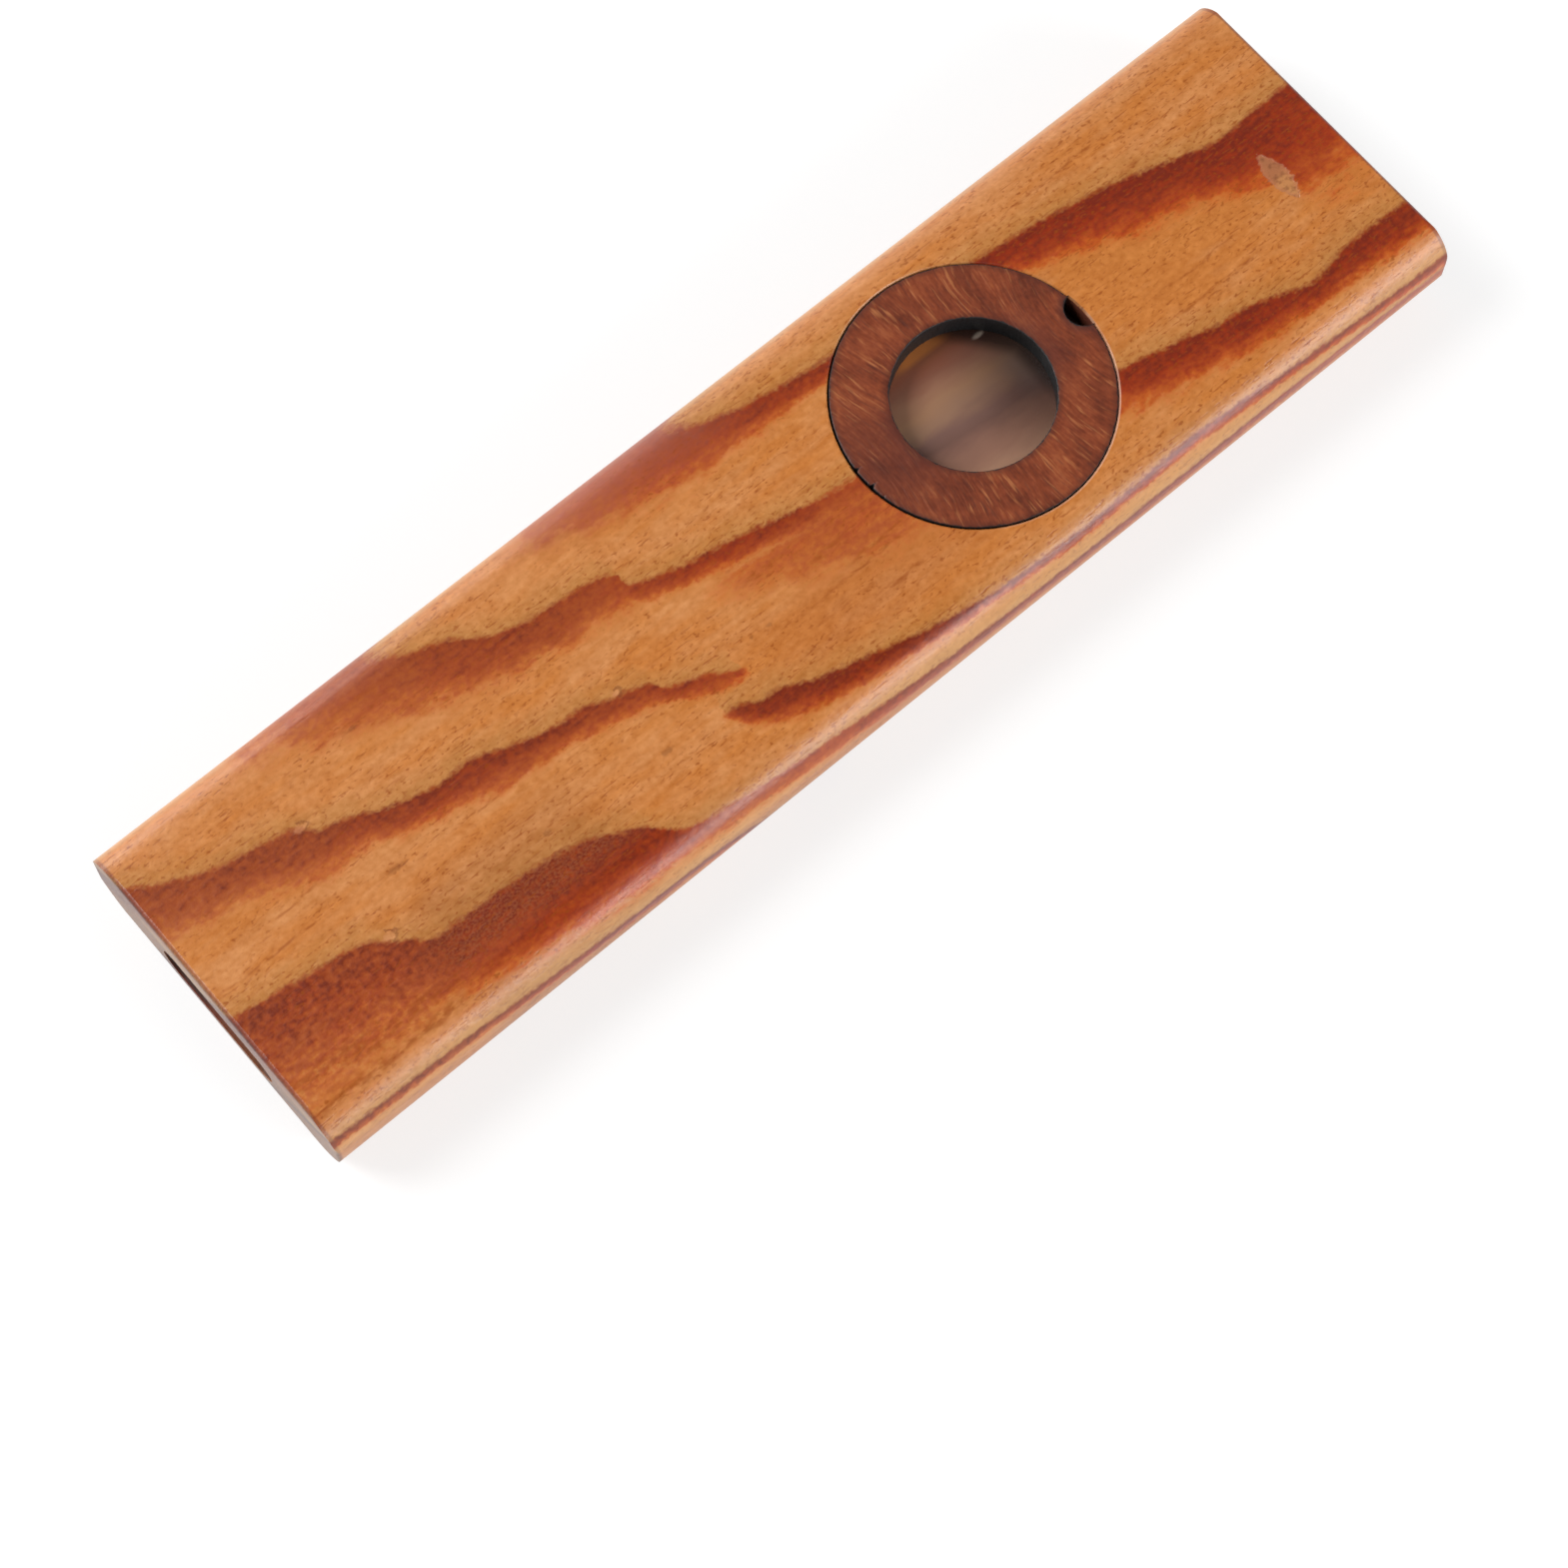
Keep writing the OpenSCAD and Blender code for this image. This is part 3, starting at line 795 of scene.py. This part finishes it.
def make_ring():
    """The laser-cut ring with its notch, small eased edges, chips and fine ridges down the cut walls."""
    angles, rows = ring_rows()
    points = []
    for radius, rise in rows:
        for a, r, h in zip(angles, radius, rise):
            points.append(ring_centre + Vector((r * math.cos(a), r * math.sin(a), h)))
    count = len(angles)
    faces = []
    for row in range(len(rows)):
        after = (row + 1) % len(rows)
        for i in range(count):
            j = (i + 1) % count
            faces.append((row * count + i, after * count + i, after * count + j, row * count + j))
    return make_mesh("ring_visual", points, faces, ring_material(), 35)


def make_mesh(name, points, faces, material, smooth_angle):
    """An object from points and faces, shaded smooth where faces meet at less than the angle in degrees."""
    mesh = bpy.data.meshes.new(name)
    mesh.from_pydata([tuple(p) for p in points], [], faces)
    cleaner = bmesh.new()
    cleaner.from_mesh(mesh)
    bmesh.ops.recalc_face_normals(cleaner, faces=cleaner.faces)
    cleaner.to_mesh(mesh)
    cleaner.free()
    mesh.materials.append(material)
    mesh.shade_smooth()
    mesh.set_sharp_from_angle(angle=math.radians(smooth_angle))
    thing = bpy.data.objects.new(name, mesh)
    bpy.context.scene.collection.objects.link(thing)
    return thing


# Membrane

# Colours across the film, from its -Y edge to its +Y edge, with places from 0 to 1
FILM_BANDS = [(0.08, srgb(222, 170, 140)), (0.17, srgb(200, 148, 124)), (0.28, srgb(182, 134, 114)),
              (0.38, srgb(146, 108, 96)), (0.44, srgb(152, 114, 102)), (0.54, srgb(180, 138, 112)),
              (0.64, srgb(190, 143, 110)), (0.72, srgb(182, 131, 104)), (0.79, srgb(167, 111, 89)),
              (0.87, srgb(168, 102, 78)), (0.95, srgb(172, 104, 72))]
FILM_GLOW = srgb(232, 144, 74)
FILM_SHADE = srgb(62, 38, 33)
FILM_GREY_SHEEN = srgb(112, 98, 94)
FILM_WALL_SHADOW = srgb(44, 32, 28)
FILM_GLINT = srgb(216, 196, 178)
GLUE_DARK = srgb(88, 62, 52)
GLUE_PALE = srgb(112, 84, 72)
# Where a small crease in the film catches the light, from the ring's centre, in millimetres
FILM_CREASE = (4.7, 4.6, 0)
CREASE_SIZE = (0.8, 0.34, 1)

RIPPLE_HEIGHT = 0.018 * MM
# The ripples die out at this radius, just inside the ring's bore
RIPPLE_RADIUS = RING_HOLE_RADIUS - 0.4 * MM


def film_material():
    """A thin translucent film, in the tones that show through the ring's bore."""
    graph = Graph("taut_film")
    x, y, _ = graph.split(about_ring(graph))
    flat = graph.join(x, y, 0)
    reach = graph.vector_math("LENGTH", flat)
    waver = graph.noise(flat, (4.5, 3.0, 1.0), detail=2)
    wisp = graph.noise(flat, (3.0, 0.7, 1.0), detail=2)
    bent = graph.math("MULTIPLY_ADD", x, 0.08, y)
    bent = graph.jitter(graph.jitter(bent, waver, 1.8), wisp, 0.9)
    colour = graph.ramp(graph.span(bent, -7.0, 7.0), FILM_BANDS)

    # A golden glow by the far wall, and shade towards the wall on the outlet side
    beside = graph.span(graph.math("ABSOLUTE", x), 1.8, 3.4, 1, 0)
    colour = graph.paint(colour, FILM_GLOW, graph.span(y, 5.8, 6.3), beside, 0.8)
    colour = graph.paint(colour, FILM_SHADE, graph.span(x, -3.0, 6.5, smooth=True), 0.7)
    # A painted grey sheen on the film beside the outlet wall
    middle = graph.span(graph.math("ABSOLUTE", y), 1.0, 3.4, 1, 0)
    colour = graph.paint(colour, FILM_GREY_SHEEN, graph.span(x, 3.4, 5.4), middle, 0.35)
    # Painted shadow and reflection of the ring's dark wall on the film, towards +X and +Y
    wall_shadow_reach = graph.math("MULTIPLY_ADD", y, 0.6, graph.math("MULTIPLY", x, 0.8))
    wall_shadow_reach = graph.math("MAXIMUM", wall_shadow_reach, graph.math("SUBTRACT", x, 0.35))
    colour = graph.paint(colour, FILM_WALL_SHADOW, graph.span(wall_shadow_reach, 4.8, 6.4, 0, 0.85, smooth=True))

    # The rim that is glued to the hoop, and the crease with its painted glint
    glued = graph.span(reach, HOOP_BORE_RADIUS / MM - 0.4, HOOP_BORE_RADIUS / MM + 0.1)
    colour = graph.paint(colour, graph.mix(wisp, GLUE_DARK, GLUE_PALE), glued)
    to_crease = graph.vector_math("DIVIDE", graph.vector_math("SUBTRACT", flat, FILM_CREASE), CREASE_SIZE)
    crease_and_glint = graph.span(graph.vector_math("LENGTH", to_crease), 0.3, 1.0, 1.0, 0.0, smooth=True)
    colour = graph.paint(colour, FILM_GLINT, crease_and_glint, 0.42)

    ripples = graph.noise(graph.join(x, bent, 0), (6.0, 0.9, 1.0), detail=1)
    loose = graph.span(reach, RING_HOLE_RADIUS / MM - 1.5, RING_HOLE_RADIUS / MM + 0.5, 1.0, 0.0)
    height = graph.math("MULTIPLY_ADD", crease_and_glint, 0.08, graph.times(ripples, loose, 0.03))
    graph.set(base_color=colour, roughness=0.24, normal=graph.bump(height))
    graph.shader.inputs["Transmission Weight"].default_value = 0.25
    graph.shader.inputs["IOR"].default_value = 1.45
    return graph.material


def ripple(x, y):
    """How far the film sinks at a point about its centre: not at all where it lies on the hoop."""
    calm = max(0.0, 1 - (math.hypot(x, y) / RIPPLE_RADIUS) ** 2) ** 1.5
    wave = math.sin((y + 0.16 * x) / MM * 2.1 + 0.5 * math.sin(x / MM * 0.5))
    return RIPPLE_HEIGHT * calm * (wave - 1)


def make_film():
    """The film stretched over its hoop, flat on the hoop and a little rippled in the middle."""
    thick = film_high.z - film_low.z
    centre = Vector((pocket_centre.x, pocket_centre.y, film_low.z))
    rings, turns = 40, 144
    points, faces = [], []
    for side in (1, 0):
        points.append(centre + Vector((0, 0, thick * side)))
        for ring in range(1, rings + 1):
            r = FILM_RADIUS * ring / rings
            for turn in range(turns):
                a = 2 * math.pi * turn / turns
                x, y = r * math.cos(a), r * math.sin(a)
                points.append(centre + Vector((x, y, thick * side + ripple(x, y))))
    block = 1 + rings * turns
    for side in (0, 1):
        base = side * block
        for turn in range(turns):
            after = (turn + 1) % turns
            faces.append((base, base + 1 + turn, base + 1 + after))
            for ring in range(rings - 1):
                a = base + 1 + ring * turns
                faces.append((a + turn, a + turns + turn, a + turns + after, a + after))
    rim = 1 + (rings - 1) * turns
    for turn in range(turns):
        after = (turn + 1) % turns
        faces.append((rim + turn, block + rim + turn, block + rim + after, rim + after))
    return make_mesh("film_visual", points, faces, film_material(), 50)


def hoop_material():
    """Near-black card with a fibrous face."""
    graph = Graph("hoop_card")
    place = graph.place_mm()
    felt = graph.noise(place, 0.18, detail=3)
    fleck = graph.noise(place, (0.5, 0.12, 0.3), detail=2)
    colour = graph.ramp(felt, [(0.3, srgb(28, 25, 23)), (0.7, srgb(44, 39, 36))])
    colour = graph.paint(colour, srgb(78, 70, 62), graph.span(fleck, 0.66, 0.72, 0.0, 0.4))
    graph.set(base_color=colour, roughness=0.75, normal=graph.bump(graph.math("MULTIPLY", felt, 0.03)))
    return graph.material


wood = wood_material()
for name in ("upper_body", "lower_body"):
    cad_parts[name].data.materials[0] = wood
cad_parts["membrane_hoop"].data.materials[0] = hoop_material()

ring = make_ring()
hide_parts("retaining_ring")
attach(ring, "ring")
film = make_film()
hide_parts("membrane_film")
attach(film, "membrane")


# Stage

FLOOR_SIDE = 3
FLOOR_GAP = 0.02 * MM
FLOOR_GREY = (0.4, 0.4, 0.4, 1)
WHITE = (1, 1, 1, 1)
# The floor's own light near the part, where the lamps add to it, and far from it, in millimetres
NEAR_FLOOR, NEAR_GLOW = 250, 0.68
FAR_FLOOR, FAR_GLOW = 900, 1.0
# The world's light on the part at the horizon. It falls to none straight above.
HORIZON_LIGHT = 0.9


def make_stage():
    """A floor that looks white and keeps the part's shadow."""
    bpy.ops.mesh.primitive_plane_add(size=FLOOR_SIDE, location=(0, 0, -FLOOR_GAP))
    floor = bpy.context.object
    floor.name = "floor"
    graph = Graph("white_floor")
    graph.set(base_color=FLOOR_GREY, roughness=0.9, emission_color=WHITE)
    graph.shader.inputs["Specular IOR Level"].default_value = 0
    path = graph.tree.nodes.new("ShaderNodeLightPath")
    seen = graph.math("MAXIMUM", path.outputs["Is Camera Ray"], path.outputs["Is Glossy Ray"])
    seen = graph.math("MAXIMUM", seen, path.outputs["Is Transmission Ray"])
    away = graph.vector_math("LENGTH", graph.place_mm())
    glow = graph.span(away, NEAR_FLOOR, FAR_FLOOR, NEAR_GLOW, FAR_GLOW)
    graph.set(emission_strength=graph.math("MULTIPLY", seen, glow))
    floor.data.materials.append(graph.material)


def make_world():
    """A studio that looks white and lights the part most from the horizon."""
    world = bpy.data.worlds.new("studio")
    world.use_nodes = True
    bpy.context.scene.world = world
    tree = world.node_tree
    background = tree.nodes["Background"]
    background.inputs["Color"].default_value = WHITE
    place = tree.nodes.new("ShaderNodeTexCoord")
    split = tree.nodes.new("ShaderNodeSeparateXYZ")
    tree.links.new(place.outputs["Generated"], split.inputs[0])
    rise = tree.nodes.new("ShaderNodeMapRange")
    rise.inputs["To Min"].default_value = HORIZON_LIGHT
    rise.inputs["To Max"].default_value = 0.0
    tree.links.new(split.outputs[2], rise.inputs["Value"])
    path = tree.nodes.new("ShaderNodeLightPath")
    pick = tree.nodes.new("ShaderNodeMapRange")
    pick.inputs["To Max"].default_value = 1.0
    tree.links.new(rise.outputs[0], pick.inputs["To Min"])
    tree.links.new(path.outputs["Is Camera Ray"], pick.inputs["Value"])
    tree.links.new(pick.outputs[0], background.inputs["Strength"])


def make_lamp(name, azimuth, elevation, distance, size, radiance):
    """A soft box that looks at the part: angles in degrees, with its width and height in metres."""
    a, e = math.radians(azimuth), math.radians(elevation)
    away = Vector((math.cos(a) * math.cos(e), math.sin(a) * math.cos(e), math.sin(e)))
    data = bpy.data.lights.new(name, "AREA")
    data.shape = "RECTANGLE"
    data.size, data.size_y = size
    data.energy = 4 * radiance * size[0] * size[1]
    lamp = bpy.data.objects.new(name, data)
    bpy.context.scene.collection.objects.link(lamp)
    lamp.location = away * distance
    lamp.rotation_mode = "QUATERNION"
    lamp.rotation_quaternion = away.to_track_quat("Z", "Y")
    lamp.visible_camera = False


make_camera()
make_stage()
make_world()
make_lamp("near_side", -66, 21, 0.8, (0.66, 0.3), 6.3)
make_lamp("far_side", 110, 13, 0.8, (0.8, 0.36), 2.8)
make_lamp("top", 130, 45, 0.8, (0.38, 0.38), 6.5)

bpy.context.scene.view_settings.view_transform = "Standard"
